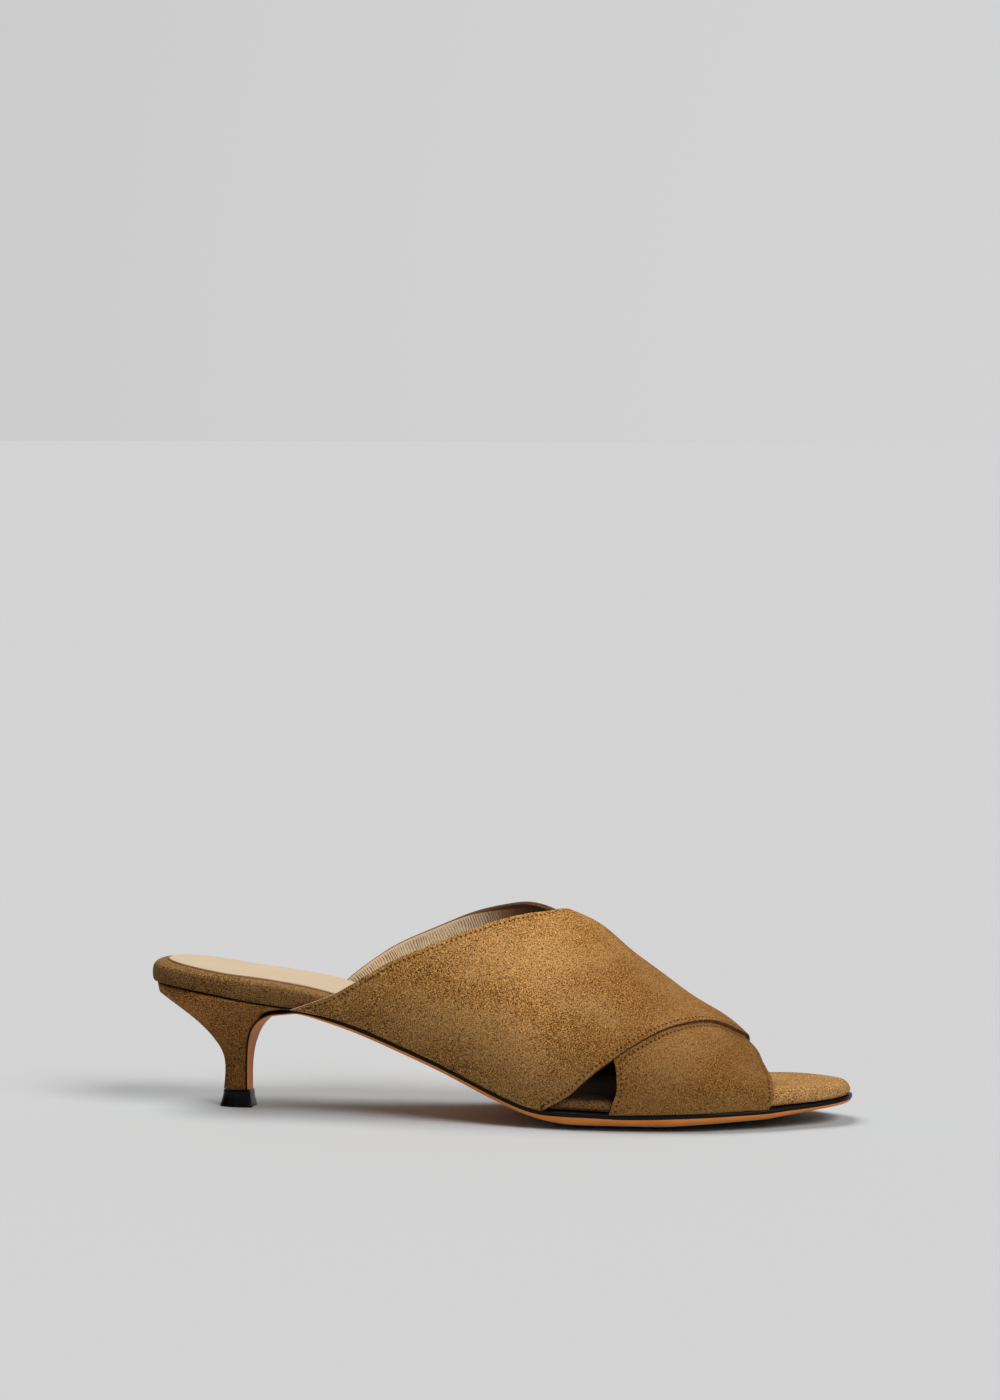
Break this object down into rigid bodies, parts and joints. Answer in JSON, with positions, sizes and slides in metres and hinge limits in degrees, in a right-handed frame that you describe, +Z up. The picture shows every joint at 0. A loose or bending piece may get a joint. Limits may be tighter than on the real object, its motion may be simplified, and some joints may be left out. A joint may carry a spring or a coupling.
{
  "type": "kitten heel mule",
  "caption": "Right kitten heel mule: crossing suede straps on a slim wrapped footbed, leather outsole run down the heel's breast, small black top piece.",
  "frame": {"origin": "centre of the shoe's bounding box in plan, on the floor", "axes": "+X towards the toe, +Y towards the inner (medial) side, +Z up"},
  "size_m": [0.2496, 0.0781, 0.0732],
  "materials": {
    "outsole": "smooth tan leather, near-black painted edge",
    "footbed": "tan-brown suede",
    "sock_lining": "smooth beige lining leather",
    "upper": "tan-brown suede with a beige lining",
    "heel": "tan-brown suede cover",
    "heel_tip": "glossy black"
  },
  "bodies": {
    "root": {"outsole": "outsole", "footbed": "footbed", "sock_lining": "sock_lining", "upper": "upper", "heel": "heel", "heel_tip": "heel_tip"}
  },
  "joints": []
}
